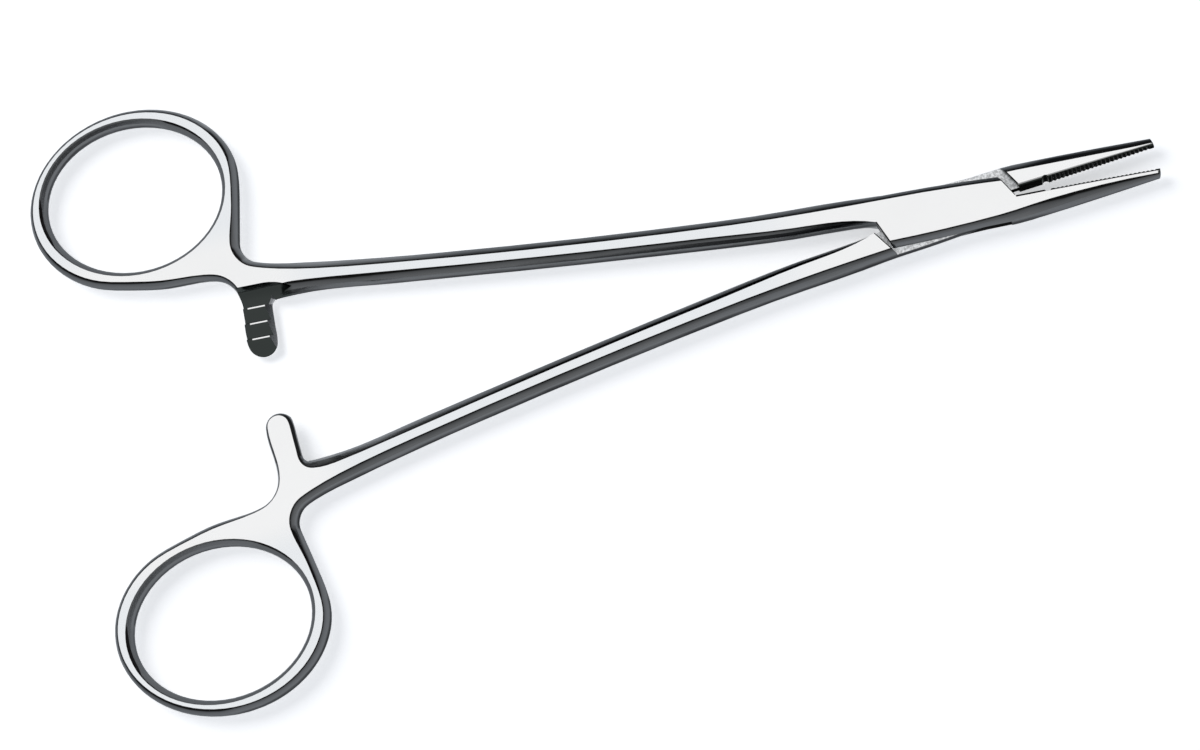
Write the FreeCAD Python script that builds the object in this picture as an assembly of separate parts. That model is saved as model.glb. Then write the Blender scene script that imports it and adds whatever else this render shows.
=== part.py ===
import FreeCAD, Part
import math
import os

# Surgical needle holder of the box lock kind, in millimetres.
# The origin lies on the pivot axis, on the underside of the box. The jaws point along +X,
# the two halves swing in the XY plane and the instrument lies flat with +Z up.
# Each half is drawn closed, with its finger ring at +Y and its jaw at -Y of the plane y = 0.

V = FreeCAD.Vector

# Overall layout, measured from the pivot axis
TIP_X = 29.65
SHOULDER_X = 9.0
CROTCH_X = -12.0
NECK_X = -92.0
REST_OPENING = 6.4

# Thickness, in the Z direction
BOX_THICKNESS = 4.4
RING_THICKNESS = 3.8
TIP_THICKNESS = 2.1
JAW_THINNING = 1.6

# Ground flats of the box, as half widths
BOX_HALF_WIDTH = 2.77
BOX_TAPER = 0.042
BOX_ARCH = 0.0021
BOX_BULGE = 1.1

# Shank: centreline offset, slope and sweep, flat width and rounded sides
SHANK_START_Y = 1.78
SHANK_SLOPE = 0.0567
SHANK_SWEEP = 0.000439
SHANK_FLAT = 1.12
BOX_FLARE = 0.71
BOX_FLARE_LENGTH = 12.0
NECK_FLARE = 0.23
NECK_FLARE_LENGTH = 5.0
SHANK_BULGE = 1.3

# Finger ring, placed from the neck, where the shank ends
RING_BEHIND_NECK = 22.7
RING_ABOVE_SHANK = 16.17
RING_HALF_LENGTH = 14.8
RING_HALF_WIDTH = 12.25
RING_TILT = 7.3
HOLE_HALF_LENGTH = 13.83
HOLE_HALF_WIDTH = 11.55
RING_BULGE = 0.85
NECK_RADIUS = 4.3
NECK_CENTRE_X = 17.4
NECK_CENTRE_Y = -9.7
NECK_FLANK_X = 0.7
NECK_FLANK_Y = -0.4

# Ratchet bar, placed from the neck, and its teeth
BAR_BEHIND_NECK = 7.4
BAR_BELOW_SHANK = 3.07
BAR_FLAT_WIDTH = 3.1
BAR_TIP_Y = -0.65
BAR_BULGE = 0.6
BAR_RING_FILLET = 4.9
BAR_RING_RISE = 0.85
BAR_SHANK_FILLET = 2.2
ROOT_BULGE = 1.55
ROOT_BULGE_LENGTH = 12.0
TOOTH_COUNT = 3
TOOTH_PITCH = 2.28
TOOTH_DEPTH = 0.6
TOOTH_LAND = 0.2
TOOTH_BACK = 0.12
TOOTH_SIDE_RUN = 0.95
TOOTH_SIDE_DROP = 1.2
FIRST_TOOTH_Y = 1.4
BAR_TIP_DROP = 1.1
SCOOP_RADIUS = 2.8
SCOOP_RUN = 1.95
SCOOP_FALL = 1.2
SCOOP_THROAT = 2.2

# Jaws: distance from the gripping plane to the back and to the edge of the ground flat
JAW_BACK = 3.65
JAW_TIP_BACK = 1.25
JAW_BACK_CURVE = 1.15
BOX_JAW_FLAT = 2.15
BOX_JAW_TIP_FLAT = 0.7
BOX_JAW_FLAT_CURVE = 2.1
TENON_JAW_FLAT = 2.4
TENON_JAW_TIP_FLAT = 0.35
TENON_JAW_FLAT_CURVE = 1.1
JAW_EDGE_BEVEL = 0.3
NOTCH_X = 13.9
NOTCH_RADIUS = 0.5
NOTCH_DEPTH = 0.35
SERRATION_PITCH = 0.6
SERRATION_WIDTH = 0.5
SERRATION_DEPTH = 0.16
NOSE_LENGTH = 1.3
NOSE_ROUNDNESS = 3.0
NOSE_FULLNESS = 0.6

# Box lock
PLATE_THICKNESS = 1.25
SLOT_REAR_X = -9.3
SLOT_FRONT_X = 8.1
PIN_RADIUS = 1.25
PLATE_REAR_X = -9.1
PLATE_REAR_LEAN = 0.45
PLATE_FRONT_X = 9.37
PLATE_FRONT_LEAN = 0.62
TENON_REAR_SHOULDER_X = -11.05
TENON_REAR_LEAN = 0.577
TENON_FRONT_SHOULDER_X = 10.16
TENON_FRONT_LEAN = 0.516
END_BEVEL = 0.18

# Clearances
SLIDE_GAP = 0.05
TENON_REAR_GAP = 0.2
TENON_FRONT_GAP = 0.1
PIN_GAP = 0.03
JAW_GAP = 0.1

# Values worked out from the sizes above
MID_Z = BOX_THICKNESS / 2
HALF_GAP = JAW_GAP / 2
SHANK_RUN = CROTCH_X - NECK_X
NECK_Y = SHANK_START_Y + SHANK_SLOPE * SHANK_RUN + SHANK_SWEEP * SHANK_RUN ** 2
RING_X = NECK_X - RING_BEHIND_NECK
RING_Y = NECK_Y + RING_ABOVE_SHANK
BAR_X = NECK_X - BAR_BEHIND_NECK
BAR_ROOT_Y = NECK_Y - BAR_BELOW_SHANK
BAR_REAR_X = BAR_X - BAR_FLAT_WIDTH / 2
BAR_FRONT_X = BAR_X + BAR_FLAT_WIDTH / 2
TENON_THICKNESS = BOX_THICKNESS - 2 * PLATE_THICKNESS - 2 * SLIDE_GAP
TENON_REAR_RADIUS = -SLOT_REAR_X - TENON_REAR_GAP
TENON_FRONT_RADIUS = SLOT_FRONT_X - TENON_FRONT_GAP

# Stock around the finished shape before it is cut, and how its long walls are divided
STOCK = 1.5
BLANK_HALF = MID_Z + SLIDE_GAP
BLANK_END_X = TIP_X + STOCK
BLANK_SIDE_Y = JAW_BACK + STOCK
REACH = 8.0
PIECE_SPANS = 6
WALL_STRIPS = 8


def spread(first, last, count):
    return [first + (last - first) * step / (count - 1) for step in range(count)]


def half_thickness(x):
    """Half the thickness at a distance x from the pivot: flat box, thinner ring, tapered jaw."""
    if x < -SHOULDER_X:
        run = min(1.0, (x + SHOULDER_X) / (BAR_REAR_X + SHOULDER_X))
        ease = run * run * (3 - 2 * run)
        return MID_Z - (MID_Z - RING_THICKNESS / 2) * ease
    if x < SHOULDER_X:
        return MID_Z
    run = (x - SHOULDER_X) / (TIP_X - SHOULDER_X)
    return MID_Z - (MID_Z - TIP_THICKNESS / 2) * run ** JAW_THINNING


def box_half_width(x):
    return BOX_HALF_WIDTH - BOX_TAPER * x - BOX_ARCH * x * x


def shank_centre(x):
    run = CROTCH_X - x
    return SHANK_START_Y + SHANK_SLOPE * run + SHANK_SWEEP * run * run


def shank_half_flat(x):
    box_flare = BOX_FLARE * math.exp((x - CROTCH_X) / BOX_FLARE_LENGTH)
    neck_flare = NECK_FLARE * math.exp((NECK_X - x) / NECK_FLARE_LENGTH)
    return SHANK_FLAT / 2 + box_flare + neck_flare


def jaw_back(x):
    run = (x - SHOULDER_X) / (TIP_X - SHOULDER_X)
    return JAW_BACK - (JAW_BACK - JAW_TIP_BACK) * run ** JAW_BACK_CURVE


def ellipse_point(half_length, half_width, tilt, degrees):
    """Point of an ellipse about the middle of the finger ring."""
    turn = math.radians(degrees)
    lean = math.radians(tilt)
    along = half_length * math.cos(turn)
    across = half_width * math.sin(turn)
    x = RING_X + along * math.cos(lean) - across * math.sin(lean)
    y = RING_Y + along * math.sin(lean) + across * math.cos(lean)
    return x, y


def arc_points(centre_x, centre_y, radius, first, last, count):
    points = []
    for degrees in spread(first, last, count):
        turn = math.radians(degrees)
        points.append((centre_x + radius * math.cos(turn), centre_y + radius * math.sin(turn)))
    return points


def outer_edge():
    """Edge of the ground flat as (x, y, bulge): box, shank, neck, ring, ratchet bar and shank again."""
    edge = []
    for x in spread(SHOULDER_X + STOCK, -SHOULDER_X, 6):
        edge.append((x, box_half_width(x), BOX_BULGE))
    for x in spread(CROTCH_X - 2, NECK_X, 8):
        edge.append((x, shank_centre(x) + shank_half_flat(x), SHANK_BULGE))
    neck_bulge = (SHANK_BULGE + RING_BULGE) / 2
    neck_x = RING_X + NECK_CENTRE_X
    neck_y = RING_Y + NECK_CENTRE_Y
    for x, y in arc_points(neck_x, neck_y, NECK_RADIUS, 258, 165, 5):
        edge.append((x, y, neck_bulge))
    flank_x, flank_y = ellipse_point(RING_HALF_LENGTH, RING_HALF_WIDTH, RING_TILT, -32)
    edge.append((flank_x + NECK_FLANK_X, flank_y + NECK_FLANK_Y, RING_BULGE))
    for degrees in spread(-18, 236, 12):
        x, y = ellipse_point(RING_HALF_LENGTH, RING_HALF_WIDTH, RING_TILT, degrees)
        edge.append((x, y, RING_BULGE))

    # Web between the ring and the bar, then round the bar's end and back onto the shank
    fillet_x = BAR_REAR_X - BAR_RING_FILLET
    fillet_y = BAR_ROOT_Y + BAR_RING_RISE
    ring_x, ring_y, ring_bulge = edge[-1]
    web_y = fillet_y + BAR_RING_FILLET
    for run in (0.3, 0.62):
        x = ring_x + run * (fillet_x - ring_x)
        y = web_y + (ring_y - web_y) * (1 - run) ** 1.5 / (1 + run * 0.5)
        edge.append((x, y, ring_bulge))
    for x, y in arc_points(fillet_x, fillet_y, BAR_RING_FILLET, 84, 8, 5):
        edge.append((x, y, BAR_BULGE))
    tip_y = BAR_TIP_Y + BAR_FLAT_WIDTH / 2
    edge.append((BAR_REAR_X, (tip_y + fillet_y) / 2, BAR_BULGE))
    for x, y in arc_points(BAR_X, tip_y, BAR_FLAT_WIDTH / 2, 180, 360, 7):
        edge.append((x, y, BAR_BULGE))
    for run in (0.4, 0.8):
        edge.append((BAR_FRONT_X, tip_y + run * (BAR_ROOT_Y - tip_y), BAR_BULGE))
    root_x = BAR_FRONT_X + BAR_SHANK_FILLET
    for x, y in arc_points(root_x, BAR_ROOT_Y, BAR_SHANK_FILLET, 172, 98, 4):
        climb = (y - BAR_ROOT_Y) / BAR_SHANK_FILLET
        edge.append((x, y, BAR_BULGE + (ROOT_BULGE - BAR_BULGE) * climb))
    for x in spread(NECK_X, CROTCH_X, 9):
        y = shank_centre(x) - shank_half_flat(x)
        swell = (ROOT_BULGE - SHANK_BULGE) * math.exp((NECK_X - x) / ROOT_BULGE_LENGTH)
        edge.append((x, y, min(SHANK_BULGE, 0.72 * y) + swell))
    return edge


def lower_edge(jaw_flat):
    """Lower side of the box and back of the jaw as (x, edge of the flat, widest point)."""
    root_flat, tip_flat, curve = jaw_flat
    edge = []
    for x in spread(PLATE_REAR_X, SHOULDER_X, 5)[:-1]:
        edge.append((x, -box_half_width(x), -box_half_width(x) - BOX_BULGE))
    for x in spread(SHOULDER_X, BLANK_END_X, 7):
        left = max(0.0, (TIP_X - x) / (TIP_X - SHOULDER_X))
        flat = tip_flat + (root_flat - tip_flat) * left ** curve
        edge.append((x, -flat, -jaw_back(x)))
    return edge


def chord_lengths(points):
    total = 0.0
    lengths = [total]
    for start, end in zip(points, points[1:]):
        total += (end - start).Length
        lengths.append(total)
    return lengths


def curve_through(points, lengths):
    curve = Part.BSplineCurve()
    curve.interpolate(Points=points, Parameters=lengths)
    return curve


def bulge_share(x, height):
    """How far the rounded side stands out at a height from the middle: 1 there, 0 at the flat."""
    return 1 - (height / half_thickness(x)) ** 2


def cut_up(curve, lengths):
    """The same curve as shorter pieces, so that no wall is one very long surface."""
    pieces = []
    for first in range(0, len(lengths) - 1, PIECE_SPANS):
        last = min(first + PIECE_SPANS, len(lengths) - 1)
        piece = curve.copy()
        piece.segment(lengths[first], lengths[last])
        pieces.append(piece)
    return pieces


def straight(start, end):
    curve = Part.BSplineCurve()
    curve.buildFromPolesMultsKnots([start, end], [2, 2], [0, 1], False, 1)
    return curve


def blank_outline(height, jaw_flat):
    """Plan outline of the forged blank, as curves, at a height from the middle plane."""
    edge = outer_edge()
    flat_points = [V(x, y, 0) for x, y, bulge in edge]
    lengths = chord_lengths(flat_points)
    flat_curve = curve_through(flat_points, lengths)
    points = []
    for (x, y, bulge), length in zip(edge, lengths):
        heading = flat_curve.tangent(length)[0]
        share = bulge * bulge_share(x, height)
        points.append(V(x + heading.y * share, y - heading.x * share, height))
    rear_half_width = box_half_width(PLATE_REAR_X)
    crotch_x = PLATE_REAR_X - PLATE_REAR_LEAN * (HALF_GAP + rear_half_width)
    points.append(V(crotch_x, HALF_GAP, height))
    lengths.append(lengths[-1] + (points[-1] - points[-2]).Length)
    outer = curve_through(points, lengths)

    side = lower_edge(jaw_flat)
    lower = []
    for x, flat, widest in side:
        lower.append(V(x, flat + (widest - flat) * bulge_share(x, height), height))
    lower[0].x += PLATE_REAR_LEAN * (-rear_half_width - lower[0].y)
    jaw = curve_through(lower, chord_lengths([V(x, flat, 0) for x, flat, widest in side]))

    end_high = V(BLANK_END_X, BLANK_SIDE_Y, height)
    start_high = V(points[0].x, BLANK_SIDE_Y, height)
    return cut_up(outer, lengths) + [
        straight(points[-1], lower[0]),
        jaw,
        straight(lower[-1], end_high),
        straight(end_high, start_high),
        straight(start_high, points[0]),
    ]


def rounded_wall(low, middle, high):
    """Wall through the same curve at three heights, bulging as a parabola, in level strips."""
    poles = []
    for below, widest, above in zip(low.getPoles(), middle.getPoles(), high.getPoles()):
        poles.append([below, widest * 2 - (below + above) * 0.5, above])
    surface = Part.BSplineSurface()
    surface.buildFromPolesMultsKnots(
        poles, low.getMultiplicities(), [3, 3], low.getKnots(), [0, 1], False, False, low.Degree, 2
    )
    start, end, bottom, top = surface.bounds()
    strips = []
    levels = spread(bottom, top, WALL_STRIPS + 1)
    for lower, upper in zip(levels, levels[1:]):
        strip = surface.copy()
        strip.segment(start, end, lower, upper)
        strips.append(strip.toShape())
    return strips


def walled_body(low, middle, high):
    """Closed solid between flat outlines below and above, through the one at mid height."""
    faces = []
    for curves in zip(low, middle, high):
        faces.extend(rounded_wall(*curves))
    for curves in (low, high):
        faces.append(Part.Face(Part.Wire([curve.toShape() for curve in curves])))
    shell = Part.Compound(faces)
    shell.sewShape()
    solid = Part.Solid(shell.Shells[0])
    if solid.Volume < 0:
        solid.reverse()
    return solid


def profile_line(stations, side, first_slope, last_slope):
    """Line of the top or of the underside over one stretch, seen from the side."""
    points = [V(x, 0, side * half_thickness(x)) for x in stations]
    curve = Part.BSplineCurve()
    curve.interpolate(Points=points, InitialTangent=first_slope, FinalTangent=last_slope)
    return curve.toShape()


def side_profile():
    """Solid whose top and underside follow the thickness along the instrument."""
    rearward = V(-1, 0, 0)
    forward = V(1, 0, 0)
    far_x = RING_X - RING_HALF_LENGTH - REACH
    far_y = RING_Y + RING_HALF_WIDTH + REACH
    far_z = half_thickness(far_x)
    nose_z = half_thickness(BLANK_END_X)
    nose_slope = (nose_z - half_thickness(TIP_X)) / STOCK
    edges = [
        Part.makeLine(V(far_x, 0, far_z), V(far_x, 0, -far_z)),
        Part.makeLine(V(BLANK_END_X, 0, nose_z), V(BLANK_END_X, 0, -nose_z)),
    ]
    for side in (1, -1):
        jaw_end = V(1, 0, side * nose_slope)
        shank_line = profile_line(spread(-SHOULDER_X, BAR_REAR_X, 9), side, rearward, rearward)
        jaw_line = profile_line(spread(SHOULDER_X, BLANK_END_X, 8), side, forward, jaw_end)
        box_line = Part.makeLine(V(-SHOULDER_X, 0, side * MID_Z), V(SHOULDER_X, 0, side * MID_Z))
        ring_line = Part.makeLine(V(BAR_REAR_X, 0, side * far_z), V(far_x, 0, side * far_z))
        edges.extend([shank_line, jaw_line, box_line, ring_line])
    face = Part.Face(Part.Wire(Part.__sortEdges__(edges)))
    face.translate(V(0, -far_y, 0))
    return face.extrude(V(0, 2 * far_y, 0))


def hole_outline(height):
    """Edge of the finger hole, as curves, at a height from the middle plane."""
    inset = RING_BULGE * (1 - (2 * height / RING_THICKNESS) ** 2)
    half_length = HOLE_HALF_LENGTH - inset
    half_width = HOLE_HALF_WIDTH - inset
    turns = spread(0, 2 * math.pi, 13)
    points = []
    for turn in turns:
        x, y = ellipse_point(half_length, half_width, 0, math.degrees(turn))
        points.append(V(x, y, height))
    curve = Part.BSplineCurve()
    heading = V(0, half_width, 0)
    curve.interpolate(
        Points=points, Parameters=turns, InitialTangent=heading, FinalTangent=heading, Scale=False
    )
    return cut_up(curve, turns)


def ring_hole():
    """Finger hole: its wall is rounded like the outside, so it is narrowest at mid height."""
    return walled_body(hole_outline(-BLANK_HALF), hole_outline(0), hole_outline(BLANK_HALF))


def blank(jaw_flat):
    """Forged and ground blank that a half starts from, with its middle plane at z = 0."""
    outlines = [blank_outline(height, jaw_flat) for height in (-BLANK_HALF, 0, BLANK_HALF)]
    return walled_body(*outlines).common(side_profile()).cut(ring_hole())


def prism(outline, low=-REACH, high=REACH):
    """Upright solid over a plan outline, between two heights."""
    corners = [V(x, y, low) for x, y in outline]
    face = Part.Face(Part.makePolygon(corners + corners[:1]))
    return face.extrude(V(0, 0, high - low))


def block(low_x, high_x, low_y, high_y):
    return prism([(low_x, low_y), (high_x, low_y), (high_x, high_y), (low_x, high_y)])


def upright_cylinder(radius, x=0.0, y=0.0):
    return Part.makeCylinder(radius, 2 * REACH, V(x, y, -REACH))


def jaw_trim():
    """Everything on the far side of the gripping plane, ahead of the oblique plate ends."""
    end_x = BLANK_END_X + STOCK
    return prism(
        [
            (PLATE_FRONT_X, -HALF_GAP),
            (end_x, -HALF_GAP),
            (end_x, REACH),
            (PLATE_FRONT_X - PLATE_FRONT_LEAN * REACH, REACH),
        ]
    )


def tooth_line():
    """Saw teeth in the YZ plane, from the bar's dropped end to the bottom of the last tooth."""
    valley = -TOOTH_DEPTH / 2
    line = [V(0, BAR_TIP_Y - STOCK, valley - BAR_TIP_DROP)]
    for index in range(TOOTH_COUNT):
        crest_y = FIRST_TOOTH_Y + index * TOOTH_PITCH
        line.append(V(0, crest_y, valley + TOOTH_DEPTH))
        line.append(V(0, crest_y + TOOTH_LAND, valley + TOOTH_DEPTH))
        line.append(V(0, crest_y + TOOTH_LAND + TOOTH_BACK, valley))
    return line


def ratchet_cutter():
    """Removes one side of the bar down to the saw teeth, with a milled scoop at the root."""
    line = tooth_line()
    scoop_start = line[-1]
    centre = scoop_start + V(0, 0, SCOOP_RADIUS)
    rise = RING_THICKNESS / 2 - centre.z
    scoop_end = centre + V(0, math.sqrt(SCOOP_RADIUS ** 2 - rise ** 2), rise)
    turn = math.acos(-rise / SCOOP_RADIUS) / 2
    middle = centre + V(0, math.sin(turn), -math.cos(turn)) * SCOOP_RADIUS
    over_root = V(0, scoop_end.y, REACH)
    over_tip = V(0, line[0].y, REACH)
    edges = [Part.makeLine(start, end) for start, end in zip(line, line[1:])]
    edges.append(Part.Arc(scoop_start, middle, scoop_end).toShape())
    edges.append(Part.makeLine(scoop_end, over_root))
    edges.append(Part.makeLine(over_root, over_tip))
    edges.append(Part.makeLine(over_tip, line[0]))
    face = Part.Face(Part.Wire(edges))
    face.translate(V(BAR_X - REACH, 0, 0))
    cutter = face.extrude(V(2 * REACH, 0, 0))

    # Seen from above, the scoop's front end sweeps away from the shank as it fades out
    front_x = BAR_SHANK_FILLET + SCOOP_RUN
    rim = []
    for run in spread(0, 1, 5):
        rim.append(V(BAR_FRONT_X + front_x * run, scoop_end.y - SCOOP_FALL * run ** 2, -REACH))
    curve = Part.BSplineCurve()
    curve.interpolate(rim)
    throat_x = BAR_FRONT_X + SCOOP_THROAT
    corners = [
        rim[-1],
        V(throat_x, scoop_end.y - SCOOP_FALL - SCOOP_THROAT / 3, -REACH),
        V(throat_x, -REACH, -REACH),
        V(BAR_X - REACH, -REACH, -REACH),
        V(BAR_X - REACH, scoop_end.y, -REACH),
        rim[0],
    ]
    sides = [Part.makeLine(start, end) for start, end in zip(corners, corners[1:])]
    plan = Part.Face(Part.Wire([curve.toShape()] + sides))
    return cutter.common(plan.extrude(V(0, 0, 2 * REACH)))


def tooth_side():
    """Slope on the bar's shank side that the teeth run out on. It fades away in the scoop."""
    side_x = BAR_FRONT_X + BAR_BULGE
    crest_z = TOOTH_DEPTH / 2
    scoop_y = tooth_line()[-1].y
    sections = []
    for y, share in ((BAR_TIP_Y - STOCK, 1.0), (scoop_y, 1.0), (scoop_y + SCOOP_FALL, 0.1)):
        slope = V(TOOTH_SIDE_RUN * share, 0, -TOOTH_SIDE_DROP * share)
        foot = V(side_x, y, crest_z) + V(0, 0, -TOOTH_SIDE_DROP * share)
        outside = foot + V(TOOTH_SIDE_RUN * share, 0, TOOTH_SIDE_DROP * share)
        corners = [foot - slope * 2, foot + slope, outside]
        sections.append(Part.makePolygon(corners + corners[:1]))
    return Part.makeLoft(sections, True, True)


def end_bevels(foot_x, lean, facing, low_y, high_y):
    """Bevels along the upper and lower edge of an oblique end that looks along X as facing says."""
    bevels = []
    for side in (1, -1):
        edge = V(foot_x + lean * low_y, low_y, side * MID_Z)
        triangle = [
            edge + V(-2 * facing * END_BEVEL, 0, side * END_BEVEL),
            edge + V(facing * END_BEVEL, 0, -2 * side * END_BEVEL),
            edge + V(2 * facing * END_BEVEL, 0, 2 * side * END_BEVEL),
        ]
        face = Part.Face(Part.makePolygon(triangle + triangle[:1]))
        run = high_y - low_y
        bevels.append(face.extrude(V(lean * run, run, 0)))
    return bevels


def nose_cutter():
    """Turned shape around the closing line that leaves the rounded nose standing."""
    start_x = TIP_X - NOSE_LENGTH
    end_x = BLANK_END_X + STOCK
    radius = math.hypot(jaw_back(start_x), half_thickness(start_x) * NOSE_FULLNESS)
    points = []
    for degrees in spread(0, 90, 6):
        turn = math.radians(degrees)
        along = math.sin(turn) ** (2 / NOSE_ROUNDNESS)
        across = abs(math.cos(turn)) ** (2 / NOSE_ROUNDNESS)
        points.append(V(start_x + NOSE_LENGTH * along, radius * across, 0))
    points[-1].y = 0
    curve = Part.BSplineCurve()
    curve.interpolate(Points=points, InitialTangent=V(1, 0, 0), FinalTangent=V(0, -1, 0))
    corners = [points[-1], V(end_x, 0, 0), V(end_x, REACH, 0), V(start_x, REACH, 0), points[0]]
    edges = [Part.makeLine(start, end) for start, end in zip(corners, corners[1:])]
    face = Part.Face(Part.Wire([curve.toShape()] + edges))
    solid = face.revolve(V(0, 0, 0), V(1, 0, 0), 360)
    if solid.Volume < 0:
        solid.reverse()
    return solid


def edge_bevel(side):
    """Bevel along the gripping face, at its upper edge (side 1) or its lower edge (side -1)."""
    size = JAW_EDGE_BEVEL
    sections = []
    for x in spread(PLATE_FRONT_X, BLANK_END_X, 6):
        corner = V(x, -HALF_GAP, side * half_thickness(x))
        triangle = [
            corner + V(0, -2 * size, side * size),
            corner + V(0, size, -2 * side * size),
            corner + V(0, 2 * size, 2 * side * size),
        ]
        sections.append(Part.makePolygon(triangle + triangle[:1]))
    return Part.makeLoft(sections, True, True)


def grip_cutters():
    """Bevels along the gripping face, the round notch across it and the fine serration."""
    notch = upright_cylinder(NOTCH_RADIUS, NOTCH_X, NOTCH_RADIUS - NOTCH_DEPTH - HALF_GAP)
    cutters = [edge_bevel(1), edge_bevel(-1), notch]
    half = SERRATION_WIDTH / 2
    groove_x = NOTCH_X + NOTCH_RADIUS + SERRATION_PITCH
    while groove_x < TIP_X - NOSE_LENGTH / 2:
        outline = [
            (groove_x - half, -HALF_GAP),
            (groove_x, -HALF_GAP - SERRATION_DEPTH),
            (groove_x + half, -HALF_GAP),
            (groove_x, SERRATION_DEPTH),
        ]
        cutters.append(prism(outline))
        groove_x += SERRATION_PITCH
    return cutters


def box_half():
    """Half with the slotted box: two plates, the web at each end of the slot, and the pin bore."""
    slot_half = MID_Z - PLATE_THICKNESS
    slot = prism(
        [
            (SLOT_REAR_X, REACH),
            (SLOT_FRONT_X + REACH, REACH),
            (SLOT_FRONT_X + REACH, -HALF_GAP),
            (SLOT_FRONT_X, -HALF_GAP),
            (SLOT_FRONT_X, -REACH),
            (SLOT_REAR_X - REACH, -REACH),
            (SLOT_REAR_X - REACH, HALF_GAP),
            (SLOT_REAR_X, HALF_GAP),
        ],
        -slot_half,
        slot_half,
    )
    body = blank((BOX_JAW_FLAT, BOX_JAW_TIP_FLAT, BOX_JAW_FLAT_CURVE)).cut(jaw_trim())
    rear_foot = PLATE_REAR_X - PLATE_REAR_LEAN * box_half_width(PLATE_REAR_X)
    bevels = end_bevels(rear_foot, -PLATE_REAR_LEAN, -1, -REACH, HALF_GAP)
    bevels += end_bevels(PLATE_FRONT_X, -PLATE_FRONT_LEAN, 1, -HALF_GAP, REACH)
    body = body.cut([slot, upright_cylinder(PIN_RADIUS)] + bevels)
    return body.cut([ratchet_cutter(), tooth_side(), nose_cutter()] + grip_cutters())


def tenon_half():
    """Half with the tenon that passes through the slot, between two oblique shoulders."""
    beside_rear = block(-SHOULDER_X - REACH, 0, -REACH, HALF_GAP)
    beside_front = block(0, BLANK_END_X + STOCK, -HALF_GAP, REACH)
    rear_side = beside_rear.cut(upright_cylinder(TENON_REAR_RADIUS))
    front_side = beside_front.cut(upright_cylinder(TENON_FRONT_RADIUS))
    cheek_outline = [
        (TENON_REAR_SHOULDER_X + TENON_REAR_LEAN * REACH, REACH),
        (TENON_REAR_SHOULDER_X - TENON_REAR_LEAN * REACH, -REACH),
        (TENON_FRONT_SHOULDER_X - TENON_FRONT_LEAN * REACH, -REACH),
        (TENON_FRONT_SHOULDER_X + TENON_FRONT_LEAN * REACH, REACH),
    ]
    cheeks = [
        prism(cheek_outline, TENON_THICKNESS / 2, REACH),
        prism(cheek_outline, -REACH, -TENON_THICKNESS / 2),
    ]
    bevels = end_bevels(TENON_REAR_SHOULDER_X, TENON_REAR_LEAN, 1, -REACH, REACH)
    bevels += end_bevels(TENON_FRONT_SHOULDER_X, TENON_FRONT_LEAN, -1, -REACH, REACH)
    bore = upright_cylinder(PIN_RADIUS + PIN_GAP)
    ratchet = []
    for cutter in (ratchet_cutter(), tooth_side()):
        ratchet.append(cutter.mirror(V(0, 0, 0), V(0, 0, 1)))
    body = blank((TENON_JAW_FLAT, TENON_JAW_TIP_FLAT, TENON_JAW_FLAT_CURVE))
    body = body.cut([rear_side, front_side, bore] + cheeks + bevels)
    body = body.cut(ratchet + [nose_cutter()] + grip_cutters())
    return body.mirror(V(0, 0, 0), V(0, 1, 0))


def pivot_pin():
    """Round pin, riveted into the plates and ground flush with them."""
    return Part.makeCylinder(PIN_RADIUS, BOX_THICKNESS, V(0, 0, -MID_Z))


def place(shape, degrees):
    """Lifts a piece onto the underside plane and swings it to the opening of the rest pose."""
    shape.translate(V(0, 0, MID_Z))
    shape.rotate(V(0, 0, 0), V(0, 0, 1), degrees)
    return shape


def main():
    os.makedirs("parts", exist_ok=True)
    pieces = {
        "box_half": place(box_half(), -REST_OPENING / 2),
        "tenon_half": place(tenon_half(), REST_OPENING / 2),
        "pivot_pin": place(pivot_pin(), 0),
    }
    for name, shape in pieces.items():
        box = shape.BoundBox
        print(name, shape.ShapeType, len(shape.Solids), shape.isValid(), round(shape.Volume, 2))
        print("  ", round(box.XMin, 2), round(box.XMax, 2), round(box.YMin, 2), round(box.YMax, 2))
        shape.exportStep("parts/" + name + ".step")


main()
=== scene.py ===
import math
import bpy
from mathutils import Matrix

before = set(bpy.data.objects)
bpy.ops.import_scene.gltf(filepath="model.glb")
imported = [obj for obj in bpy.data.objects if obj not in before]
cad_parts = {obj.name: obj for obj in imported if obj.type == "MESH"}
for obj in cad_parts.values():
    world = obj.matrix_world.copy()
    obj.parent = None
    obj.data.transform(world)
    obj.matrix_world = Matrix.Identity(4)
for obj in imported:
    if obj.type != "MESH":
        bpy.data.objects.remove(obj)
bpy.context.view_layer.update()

from types import SimpleNamespace

import bpy
from mathutils import Matrix, Vector


def grey(level, blue=1.0):
    """A grey of this level. blue is the blue part against the red one."""
    return (level, level * (1 + blue) / 2, level * blue, 1.0)


# Rest pose: each half is turned this far from closed
HALF_OPENING = math.radians(3.2)

# Middle plane of the instrument, and half its thickness at the rings and at the tips
MID_Z = 0.0022
RING_HALF = 0.0019
TIP_HALF = 0.00105
# The thickness falls from the shoulders of the lock, to the rings' neck and by this power to the tips
SHOULDER_X = 0.009
NECK_X = -0.101
TIP_X = 0.02965
TAPER_POWER = 1.6
# Middle of the finger ring of the half with the slotted box
RING_MIDDLE = (-0.1131, 0.0317)

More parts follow.
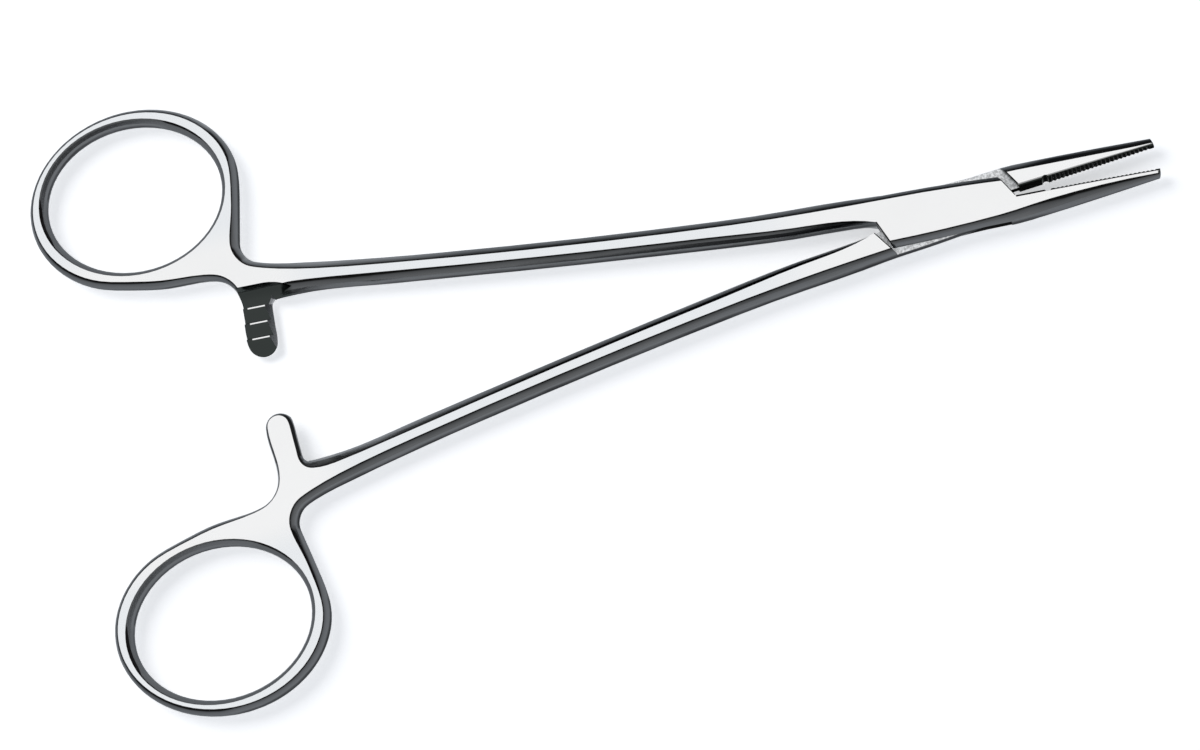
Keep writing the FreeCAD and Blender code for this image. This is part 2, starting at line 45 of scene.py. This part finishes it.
# Where a finish, a painted reflection or a painted shade starts: absent at the first value, full at
# the second, soft between them. Level is 1 for a face that lies flat, and endways is 1 for one that
# looks along x. Aside is the distance from the plane in which the two halves meet, forward the
# distance from the pivot along that plane, and depth the distance from the middle plane. The cheeks
# of the lock lie in the two quarters where x times y is above zero, and its open corners, painted
# dark as the shade in the gap between the halves, in the others.
FLAT_LEVEL = (0.93, 0.97)
FLAT_FORWARD = (0.0293, 0.0292)
RING_FLAT_ASIDE = (0.014, 0.019)
SHANK_FLAT_FRONT = (-0.016, -0.03)
SHANK_FLAT_REAR = (-0.096, -0.088)
BAR_FRONT = (-0.0929, -0.094)
BAR_ASIDE = (0.0093, 0.0091)
BAR_DEPTH = (0.0018, 0.0017)
BAR_TOOTHED_SIDE = (-0.0006, -0.0004)
BAR_END_ASIDE = (0.006, 0.0058)
BAR_FACE_ENDWAYS = (0.35, 0.25)
# Where the bar's side turns from painted black to painted grey
BAR_SIDE_REFLECTION_SHARE = (0.55, 0.8)
CREST_LEVEL = (0.992, 0.998)
CREST_HEIGHT = (0.00023, 0.00025)
CREST_FORWARD = (-0.1008, -0.1007)
LOCK_REACH = (0.0137, 0.0135)
LOCK_DEPTH = (0.0014, 0.0013)
CHEEK_QUARTERS = (-0.000004, 0.000002)
CHEEK_GRAIN = (0.36, 0.64)
GRIP_ASIDE = (0.00055, 0.00045)
GRIP_FORWARD = (0.0089, 0.0091)
BEVEL_LEVEL = (0.5, 0.6)
BEVEL_SHARE = (0.16, 0.1)
HANDLE_FRONT = (-0.06, -0.09)
HOLE_ASIDE = (0.0125, 0.0135)
HOLE_INWARD = (0.0, 0.0005)
NEAR_FACING = (-0.3, 0.3)
UNDERSIDE = (-0.0001, -0.0013)
# A side is near where it faces down the picture, and looking along x counts by this share
NEAR_LEAN = 0.35

# Painted reflection and shade on a rounded side across its width, from the edge of the flat at 0 to
# its widest line at 1, as polished steel would show it: sides that face down the picture, walls of
# the ring's hole, sides that face up, and these again from the middle of the shank to the ring
NEAR_PAINTED_REFLECTION = (
    (0.0, grey(0.006)),
    (0.11, grey(0.008)),
    (0.18, grey(0.060, 1.08)),
    (0.30, grey(0.092, 1.08)),
    (0.55, grey(0.120, 1.08)),
    (0.80, grey(0.135, 1.08)),
    (0.90, grey(0.08, 1.05)),
    (1.0, grey(0.035, 1.03)),
)
HOLE_PAINTED_REFLECTION = (
    (0.0, grey(0.010)),
    (0.05, grey(0.095, 1.08)),
    (0.25, grey(0.105, 1.08)),
    (0.60, grey(0.115, 1.08)),
    (0.88, grey(0.140, 1.08)),
    (1.0, grey(0.06, 1.05)),
)
FAR_PAINTED_REFLECTION = (
    (0.0, grey(0.006)),
    (0.20, grey(0.010)),
    (0.42, grey(0.06, 1.08)),
    (0.62, grey(0.12, 1.08)),
    (0.90, grey(0.15, 1.08)),
    (1.0, grey(0.09, 1.05)),
)
FAR_HANDLE_PAINTED_REFLECTION = (
    (0.0, grey(0.008)),
    (0.16, grey(0.020, 1.05)),
    (0.34, grey(0.10, 1.08)),
    (0.55, grey(0.16, 1.08)),
    (0.85, grey(0.30, 1.06)),
    (1.0, grey(0.17, 1.05)),
)
# Painted dark reflection streaks: the way the side faces in degrees, where the streak starts and is
# full, its width
WALL_REFLECTION_STREAKS = (
    (-125.0, 0.80, 0.96, 0.20),
    (22.0, 0.94, 0.99, 0.20),
)
HOLE_REFLECTION_STREAKS = (
    (-130.0, 0.95, 0.99, 0.28),
    (5.0, 0.90, 0.98, 0.45),
)
# The painted dark reflection streak of the jaws: where it starts, and its width on sides that face up
# and down the picture
JAW_REFLECTION_STREAK_FORWARD = (0.010, 0.016)
JAW_REFLECTION_STREAK_WIDTHS = (0.35, 0.12)
# The painted reflection wavers along the sides by this much, except next to the flat
WAVER = 0.35
WAVER_SHARE = (0.1, 0.3)
WAVER_SCALE = (120.0, 120.0, 1200.0)

# Colours in pairs are the ends between which a surface varies
UNDER_COLOURS = (grey(0.42, 1.03), grey(0.60, 1.03))
FLAT_COLOURS = (grey(0.88), grey(0.93))
HANDLE_FLAT_COLOUR = grey(0.83, 1.05)
# The bar's side is painted black next to the flat and grey further out, as a painted reflection
BAR_SIDE_PAINTED_REFLECTION = (grey(0.012), grey(0.22, 1.03))
BAR_FACE_COLOUR = (0.041, 0.047, 0.045, 1.0)
GRIP_COLOUR = (0.026, 0.030, 0.027, 1.0)
# Painted highlight on the grip's bevel where it faces down the picture
BEVEL_PAINTED_HIGHLIGHT = grey(0.42)
CHEEK_COLOURS = (grey(0.50, 1.03), grey(0.88, 1.03))
# Painted shade in the lock's open corners, where the gap between the halves lies in shadow
CORNER_PAINTED_SHADE = grey(0.03)
SIDE_TINT = grey(0.5, 1.04)
GRIP_TINT = grey(0.25)
FLAT_TINT = grey(1.0)

SIDE_ROUGHNESS = 0.18
FLAT_ROUGHNESS = (0.14, 0.24)
LOCK_ROUGHNESS = 0.5

# Scale of the grinding marks, the broad faint shades and the grain inside the lock, and their relief
GRINDING_SCALE = (60.0, 9000.0, 2000.0)
CLOUD_SCALE = 90.0
GRAIN_SCALE = 3000.0
RELIEF_STRENGTH = 0.25
RELIEF_DISTANCE = 0.00001
GRINDING_RELIEF = 0.6
GRAIN_RELIEF = 3.0

# Floor: its half width, colour and glow, near the instrument and beyond. The range is of the distance
# squared
FLOOR_HALF = 2.0
FLOOR_COLOUR = (0.93, 0.93, 0.94, 1.0)
GLOW_COLOUR = grey(0.98, 1.02)
NEAR_GLOW = 0.55
FAR_GLOW = 0.9
FAR_REACH = (0.04, 0.25)

# Sky from the horizon at 0 to overhead at 1 as it is seen, and the soft light that it gives
SKY_SHADES = (
    (0.0, grey(1.0)),
    (0.3, grey(0.80, 1.02)),
    (0.7, grey(0.90, 1.01)),
    (0.92, grey(0.98, 1.01)),
)
SKY_LIGHT_COLOUR = (0.84, 0.90, 1.0, 1.0)
SKY_LIGHT = 0.35

# Key lamp: a disk, and the way from its target to it
KEY_SIZE = 0.5
KEY_ENERGY = 2.5
KEY_COLOUR = (1.0, 0.99, 0.97)
KEY_TARGET = Vector((-0.05, 0.0, 0.0))
KEY_HEADING = Vector((-0.70, 0.71, 0.0))
KEY_ELEVATION = math.radians(50)
KEY_DISTANCE = 0.8

# Camera fitted to the photograph
CAMERA_PLACE = Vector((0.00132, -0.13074, 0.54893))
CAMERA_RIGHT = Vector((0.9649, -0.2194, -0.1444))
CAMERA_UP = Vector((0.2442, 0.9519, 0.1851))
CAMERA_TURN = math.radians(-0.1)
CAMERA_LENS = 120.0
CAMERA_SENSOR = 36.0
CAMERA_CLIP = (0.01, 10.0)


class Nodes:
    """Short calls for building a node tree."""

    def __init__(self, tree):
        self.tree = tree
        tree.nodes.clear()

    def add(self, kind, **settings):
        node = self.tree.nodes.new(kind)
        for key, value in settings.items():
            setattr(node, key, value)
        return node

    def put(self, socket, value):
        """Link a socket to another one, or set it to a number or colour."""
        if isinstance(value, bpy.types.NodeSocket):
            self.tree.links.new(value, socket)
        else:
            socket.default_value = value

    def math(self, operation, first, second=0.0, clamp=False):
        node = self.add("ShaderNodeMath", operation=operation, use_clamp=clamp)
        self.put(node.inputs[0], first)
        self.put(node.inputs[1], second)
        return node.outputs[0]

    def product(self, *values):
        total = values[0]
        for value in values[1:]:
            total = self.math("MULTIPLY", total, value)
        return total

    def vector(self, operation, first, second):
        node = self.add("ShaderNodeVectorMath", operation=operation)
        self.put(node.inputs[0], first)
        self.put(node.inputs[1], second)
        return node.outputs

    def dot(self, first, second):
        return self.vector("DOT_PRODUCT", first, second)["Value"]

    def split(self, vector):
        node = self.add("ShaderNodeSeparateXYZ")
        self.put(node.inputs[0], vector)
        return node.outputs

    def scaled(self, vector, scale, turn=0.0):
        node = self.add("ShaderNodeMapping")
        self.put(node.inputs["Vector"], vector)
        node.inputs["Scale"].default_value = scale
        node.inputs["Rotation"].default_value = (0.0, 0.0, turn)
        return node.outputs["Vector"]

    def step(self, value, absent, full):
        """0 up to absent, 1 from full on, and smooth between. full may be the lower of the two."""
        node = self.add("ShaderNodeMapRange", interpolation_type="SMOOTHSTEP")
        if absent < full:
            ends = (absent, full, 0.0, 1.0)
        else:
            ends = (full, absent, 1.0, 0.0)
        self.put(node.inputs["Value"], value)
        for name, end in zip(("From Min", "From Max", "To Min", "To Max"), ends):
            node.inputs[name].default_value = end
        return node.outputs["Result"]

    def mix(self, share, first, second):
        node = self.add("ShaderNodeMix", data_type="FLOAT")
        self.put(node.inputs["Factor"], share)
        self.put(node.inputs["A"], first)
        self.put(node.inputs["B"], second)
        return node.outputs["Result"]

    def mix_colour(self, share, first, second):
        node = self.add("ShaderNodeMix", data_type="RGBA")
        self.put(node.inputs["Factor"], share)
        self.put(node.inputs[6], first)
        self.put(node.inputs[7], second)
        return node.outputs[2]

    def ramp(self, value, stops):
        node = self.add("ShaderNodeValToRGB")
        self.put(node.inputs["Fac"], value)
        elements = node.color_ramp.elements
        while len(elements) < len(stops):
            elements.new(0.5)
        for element, (place, colour) in zip(elements, stops):
            element.position = place
            element.color = colour
        return node.outputs["Color"]

    def noise(self, vector, scale=1.0, detail=3.0, roughness=0.6):
        node = self.add("ShaderNodeTexNoise")
        self.put(node.inputs["Vector"], vector)
        node.inputs["Scale"].default_value = scale
        node.inputs["Detail"].default_value = detail
        node.inputs["Roughness"].default_value = roughness
        return node.outputs["Fac"]

    def seen(self):
        """1 where the camera looks, straight or by a reflection, and 0 where light is gathered."""
        path = self.add("ShaderNodeLightPath").outputs
        straight = self.math("ADD", path["Is Camera Ray"], path["Is Glossy Ray"])
        return self.math("ADD", straight, path["Is Transmission Ray"], clamp=True)


def read_point(n, side):
    """Place and facing of a point, and its distances from the instrument's own planes."""
    coordinates = n.add("ShaderNodeTexCoord").outputs
    true_normal = n.split(n.add("ShaderNodeNewGeometry").outputs["True Normal"])
    place = coordinates["Object"]
    x, y, z = n.split(place)
    across = (side * math.sin(HALF_OPENING), math.cos(HALF_OPENING), 0.0)
    along = (math.cos(HALF_OPENING), -side * math.sin(HALF_OPENING), 0.0)
    height = n.math("SUBTRACT", z, MID_Z)
    return SimpleNamespace(
        place=place,
        normal=coordinates["Normal"],
        x=x,
        y=y,
        height=height,
        toothed_side=n.math("MULTIPLY", height, side),
        depth=n.math("ABSOLUTE", height),
        aside=n.math("ABSOLUTE", n.dot(place, across)),
        forward=n.dot(place, along),
        level=n.math("ABSOLUTE", true_normal[2]),
        endways=n.math("ABSOLUTE", true_normal[0]),
    )


def find_zones(n, point):
    """How far a point belongs to each surface, from 0 to 1.

    flat is a ground face or the land of a tooth, lock the faces between the halves at the pivot,
    cheek the bright part of these, the rest being painted dark as shade, near a side that faces down
    the picture, and handle the stretch from the middle of the shank to the ring.
    """
    ground = n.step(point.level, *FLAT_LEVEL)
    toothed = n.step(point.toothed_side, *BAR_TOOTHED_SIDE)
    bar = n.product(
        n.math("MAXIMUM", toothed, n.step(point.aside, *BAR_END_ASIDE)),
        n.step(point.x, *BAR_FRONT),
        n.step(point.aside, *BAR_ASIDE),
        n.step(point.depth, *BAR_DEPTH),
    )
    bar_face = n.step(point.endways, *BAR_FACE_ENDWAYS)
    crest = n.product(
        n.step(point.level, *CREST_LEVEL),
        n.step(point.toothed_side, *CREST_HEIGHT),
        n.step(point.forward, *CREST_FORWARD),
    )
    flat = n.mix(n.product(bar, bar_face), ground, crest)
    lock = n.product(
        n.step(n.math("ABSOLUTE", point.x), *LOCK_REACH),
        n.step(point.depth, *LOCK_DEPTH),
        ground,
    )
    normal_x, normal_y, _ = n.split(point.normal)
    facing = n.math("SUBTRACT", n.math("MULTIPLY", normal_x, NEAR_LEAN), normal_y)
    return SimpleNamespace(
        flat=n.product(flat, n.step(point.forward, *FLAT_FORWARD)),
        bar=bar,
        bar_face=bar_face,
        lock=lock,
        cheek=n.step(n.math("MULTIPLY", point.x, point.y), *CHEEK_QUARTERS),
        grip=n.product(n.step(point.aside, *GRIP_ASIDE), n.step(point.x, *GRIP_FORWARD)),
        near=n.step(facing, *NEAR_FACING),
        handle=n.step(point.x, *HANDLE_FRONT),
    )


def width_share(n, point):
    """Place across a rounded side, from the edge of the flat at 0 to its widest line at 1."""
    thinning = n.math("MULTIPLY", n.step(point.x, -SHOULDER_X, NECK_X), MID_Z - RING_HALF)
    run = n.math("SUBTRACT", point.x, SHOULDER_X)
    run = n.math("DIVIDE", run, TIP_X - SHOULDER_X, clamp=True)
    taper = n.math("MULTIPLY", n.math("POWER", run, TAPER_POWER), MID_Z - TIP_HALF)
    half_thickness = n.math("SUBTRACT", n.math("SUBTRACT", MID_Z, thinning), taper)
    share = n.math("DIVIDE", point.depth, half_thickness)
    share = n.math("SUBTRACT", 1.0, n.math("MULTIPLY", share, share), clamp=True)
    waver = n.noise(n.scaled(point.place, WAVER_SCALE))
    waver = n.math("SUBTRACT", waver, 0.5)
    waver = n.math("MULTIPLY", waver, n.product(n.step(share, *WAVER_SHARE), WAVER))
    return n.math("ADD", share, waver, clamp=True)


def reflection_streak_width(n, faced, slant, streaks):
    """How far the painted dark reflection streaks reach across a side that faces this way."""
    width = 0.0
    for degrees, start, full, widest in streaks:
        turn = math.radians(degrees)
        facing = n.dot(faced, (math.cos(turn), math.sin(turn), 0.0))
        facing = n.math("DIVIDE", facing, slant)
        width = n.math("ADD", n.math("MULTIPLY", n.step(facing, start, full), widest), width)
    return width


def colour_side(n, point, zone, side, cloud):
    """Colour of the rounded sides, the toothed bar and the gripping face, with painted reflection and
    shade on the sides and a painted highlight on the grip's bevel.
    """
    share = width_share(n, point)
    # The way the side faces, seen from above
    faced = n.scaled(point.normal, (1.0, 1.0, 0.0))
    slant = n.math("SQRT", n.dot(faced, faced))

    # Outer sides, with their painted reflection and its dark painted streaks
    jaw_reflection_streak = n.product(
        n.step(point.forward, *JAW_REFLECTION_STREAK_FORWARD),
        n.mix(zone.near, *JAW_REFLECTION_STREAK_WIDTHS),
    )
    wall_reflection_streak = n.product(reflection_streak_width(n, faced, slant, WALL_REFLECTION_STREAKS), zone.handle)
    wall_share = n.math("SUBTRACT", share, n.math("ADD", jaw_reflection_streak, wall_reflection_streak), clamp=True)
    far = n.mix_colour(
        zone.handle,
        n.ramp(wall_share, FAR_PAINTED_REFLECTION),
        n.ramp(wall_share, FAR_HANDLE_PAINTED_REFLECTION),
    )
    colour = n.mix_colour(zone.near, far, n.ramp(wall_share, NEAR_PAINTED_REFLECTION))

    # Walls of the ring's hole, with their own painted reflection and streaks
    hole_reflection_streak = reflection_streak_width(n, faced, slant, HOLE_REFLECTION_STREAKS)
    hole_share = n.math("SUBTRACT", share, hole_reflection_streak, clamp=True)
    ring_middle = (RING_MIDDLE[0], side * RING_MIDDLE[1], 0.0)
    inward = n.dot(n.vector("SUBTRACT", ring_middle, point.place)["Vector"], faced)
    hole = n.product(n.step(inward, *HOLE_INWARD), n.step(point.aside, *HOLE_ASIDE))
    colour = n.mix_colour(hole, colour, n.ramp(hole_share, HOLE_PAINTED_REFLECTION))

    # Lower half, toothed bar with painted reflection on its side, and gripping face with a painted
    # highlight on its bevel
    under = n.mix_colour(cloud, *UNDER_COLOURS)
    colour = n.mix_colour(n.step(point.height, *UNDERSIDE), colour, under)

    bar = n.mix_colour(n.step(share, *BAR_SIDE_REFLECTION_SHARE), *BAR_SIDE_PAINTED_REFLECTION)
    bar = n.mix_colour(zone.bar_face, bar, BAR_FACE_COLOUR)
    colour = n.mix_colour(zone.bar, colour, bar)

    bevel_highlight = n.product(
        n.step(point.level, *BEVEL_LEVEL),
        zone.near,
        n.step(share, *BEVEL_SHARE),
    )
    return n.mix_colour(zone.grip, colour, n.mix_colour(bevel_highlight, GRIP_COLOUR, BEVEL_PAINTED_HIGHLIGHT))


def colour_flat(n, point, cloud):
    """Colour of the ground flats, a little darker on the shanks and the rings."""
    ring = n.step(point.aside, *RING_FLAT_ASIDE)
    shank = n.product(n.step(point.x, *SHANK_FLAT_FRONT), n.step(point.x, *SHANK_FLAT_REAR))
    handle = n.math("MAXIMUM", ring, shank)
    return n.mix_colour(handle, n.mix_colour(cloud, *FLAT_COLOURS), HANDLE_FLAT_COLOUR)


def steel(name, side):
    """Polished instrument steel. side is 1 for the half with the slotted box, -1 for the other."""
    material = bpy.data.materials.new(name)
    material.use_nodes = True
    n = Nodes(material.node_tree)
    point = read_point(n, side)
    zone = find_zones(n, point)

    # Fine grinding marks run along the instrument, and the inside of the lock is grainy
    along = n.scaled(point.place, GRINDING_SCALE, side * HALF_OPENING)
    grinding = n.noise(along)
    cloud = n.noise(point.place, CLOUD_SCALE, detail=2.0, roughness=0.5)
    grain = n.step(n.noise(point.place, GRAIN_SCALE), *CHEEK_GRAIN)

    # The sides carry painted reflection and shade, and the grip's bevel a painted highlight
    side_colour = colour_side(n, point, zone, side, cloud)
    colour = n.mix_colour(zone.flat, side_colour, colour_flat(n, point, cloud))
    # The lock's cheeks are grainy, and its open corners are painted dark as shade
    cheek = n.mix_colour(zone.cheek, CORNER_PAINTED_SHADE, n.mix_colour(grain, *CHEEK_COLOURS))
    colour = n.mix_colour(zone.lock, colour, cheek)

    tint = n.mix_colour(zone.grip, SIDE_TINT, GRIP_TINT)
    tint = n.mix_colour(zone.flat, tint, FLAT_TINT)
    roughness = n.mix(zone.flat, SIDE_ROUGHNESS, n.mix(grinding, *FLAT_ROUGHNESS))
    roughness = n.mix(zone.lock, roughness, LOCK_ROUGHNESS)
    relief = n.mix(
        zone.lock,
        n.math("MULTIPLY", grinding, GRINDING_RELIEF),
        n.math("MULTIPLY", grain, GRAIN_RELIEF),
    )
    bump = n.add("ShaderNodeBump")
    bump.inputs["Strength"].default_value = RELIEF_STRENGTH
    bump.inputs["Distance"].default_value = RELIEF_DISTANCE
    n.put(bump.inputs["Height"], relief)

    shader = n.add("ShaderNodeBsdfPrincipled")
    shader.inputs["Metallic"].default_value = 1.0
    n.put(shader.inputs["Base Color"], colour)
    n.put(shader.inputs["Specular Tint"], tint)
    n.put(shader.inputs["Roughness"], roughness)
    n.put(shader.inputs["Normal"], bump.outputs["Normal"])
    out = n.add("ShaderNodeOutputMaterial")
    n.put(out.inputs["Surface"], shader.outputs["BSDF"])
    return material


def dress():
    """Give each of the three CAD nodes its steel."""
    finishes = {
        "box_half": steel("polished_steel_box_side", 1),
        "tenon_half": steel("polished_steel_tenon_side", -1),
        "pivot_pin": steel("polished_steel_pin", 1),
    }
    for name, material in finishes.items():
        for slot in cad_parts[name].material_slots:
            slot.material = material


def pale_floor():
    """A matt floor that keeps the shadow, with a glow that only shows where it is seen."""
    material = bpy.data.materials.new("pale_floor")
    material.use_nodes = True
    n = Nodes(material.node_tree)
    matt = n.add("ShaderNodeBsdfDiffuse")
    matt.inputs["Color"].default_value = FLOOR_COLOUR
    glow = n.add("ShaderNodeEmission")
    glow.inputs["Color"].default_value = GLOW_COLOUR
    x, y, _ = n.split(n.add("ShaderNodeTexCoord").outputs["Object"])
    reach = n.math("ADD", n.math("MULTIPLY", x, x), n.math("MULTIPLY", y, y))
    strength = n.mix(n.step(reach, *FAR_REACH), NEAR_GLOW, FAR_GLOW)
    n.put(glow.inputs["Strength"], n.product(n.seen(), strength))
    both = n.add("ShaderNodeAddShader")
    n.put(both.inputs[0], matt.outputs[0])
    n.put(both.inputs[1], glow.outputs[0])
    out = n.add("ShaderNodeOutputMaterial")
    n.put(out.inputs["Surface"], both.outputs[0])
    return material


def lay_floor():
    """A level floor under the instrument, wider than any view of it."""
    mesh = bpy.data.meshes.new("floor")
    signs = ((-1, -1), (1, -1), (1, 1), (-1, 1))
    corners = [(FLOOR_HALF * a, FLOOR_HALF * b, 0.0) for a, b in signs]
    mesh.from_pydata(corners, [], [(0, 1, 2, 3)])
    mesh.materials.append(pale_floor())
    floor = bpy.data.objects.new("floor", mesh)
    bpy.context.scene.collection.objects.link(floor)


def light_sky():
    """A pale sky, dimmest a little above the horizon, that gives soft light from all round."""
    world = bpy.data.worlds.new("studio")
    bpy.context.scene.world = world
    world.use_nodes = True
    n = Nodes(world.node_tree)
    upward = n.split(n.add("ShaderNodeTexCoord").outputs["Generated"])[2]
    sky = n.ramp(upward, SKY_SHADES)
    seen = n.seen()
    background = n.add("ShaderNodeBackground")
    n.put(background.inputs["Color"], n.mix_colour(seen, SKY_LIGHT_COLOUR, sky))
    n.put(background.inputs["Strength"], n.mix(seen, SKY_LIGHT, 1.0))
    out = n.add("ShaderNodeOutputWorld")
    n.put(out.inputs["Surface"], background.outputs[0])


def hang_key():
    """One soft key lamp, left out of reflections."""
    lamp = bpy.data.lights.new("key", "AREA")
    lamp.shape = "DISK"
    lamp.size = KEY_SIZE
    lamp.energy = KEY_ENERGY
    lamp.color = KEY_COLOUR
    key = bpy.data.objects.new("key", lamp)
    upward = Vector((0.0, 0.0, math.sin(KEY_ELEVATION)))
    offset = KEY_HEADING * math.cos(KEY_ELEVATION) + upward
    key.location = KEY_TARGET + offset * KEY_DISTANCE
    key.rotation_euler = (-offset).to_track_quat("-Z", "Y").to_euler()
    key.visible_glossy = False
    bpy.context.scene.collection.objects.link(key)


def place_camera():
    """The camera of the photograph."""
    data = bpy.data.cameras.new("camera")
    data.lens = CAMERA_LENS
    data.sensor_width = CAMERA_SENSOR
    data.clip_start, data.clip_end = CAMERA_CLIP
    view = bpy.data.objects.new("camera", data)
    right = CAMERA_RIGHT.normalized()
    back = right.cross(CAMERA_UP).normalized()
    up = back.cross(right)
    facing = Matrix((right, up, back)).transposed().to_4x4()
    turn = Matrix.Rotation(CAMERA_TURN, 4, "Z")
    view.matrix_world = turn @ Matrix.Translation(CAMERA_PLACE) @ facing
    bpy.context.scene.collection.objects.link(view)
    bpy.context.scene.camera = view


bpy.context.scene.view_settings.view_transform = "Standard"
dress()
lay_floor()
light_sky()
hang_key()
place_camera()
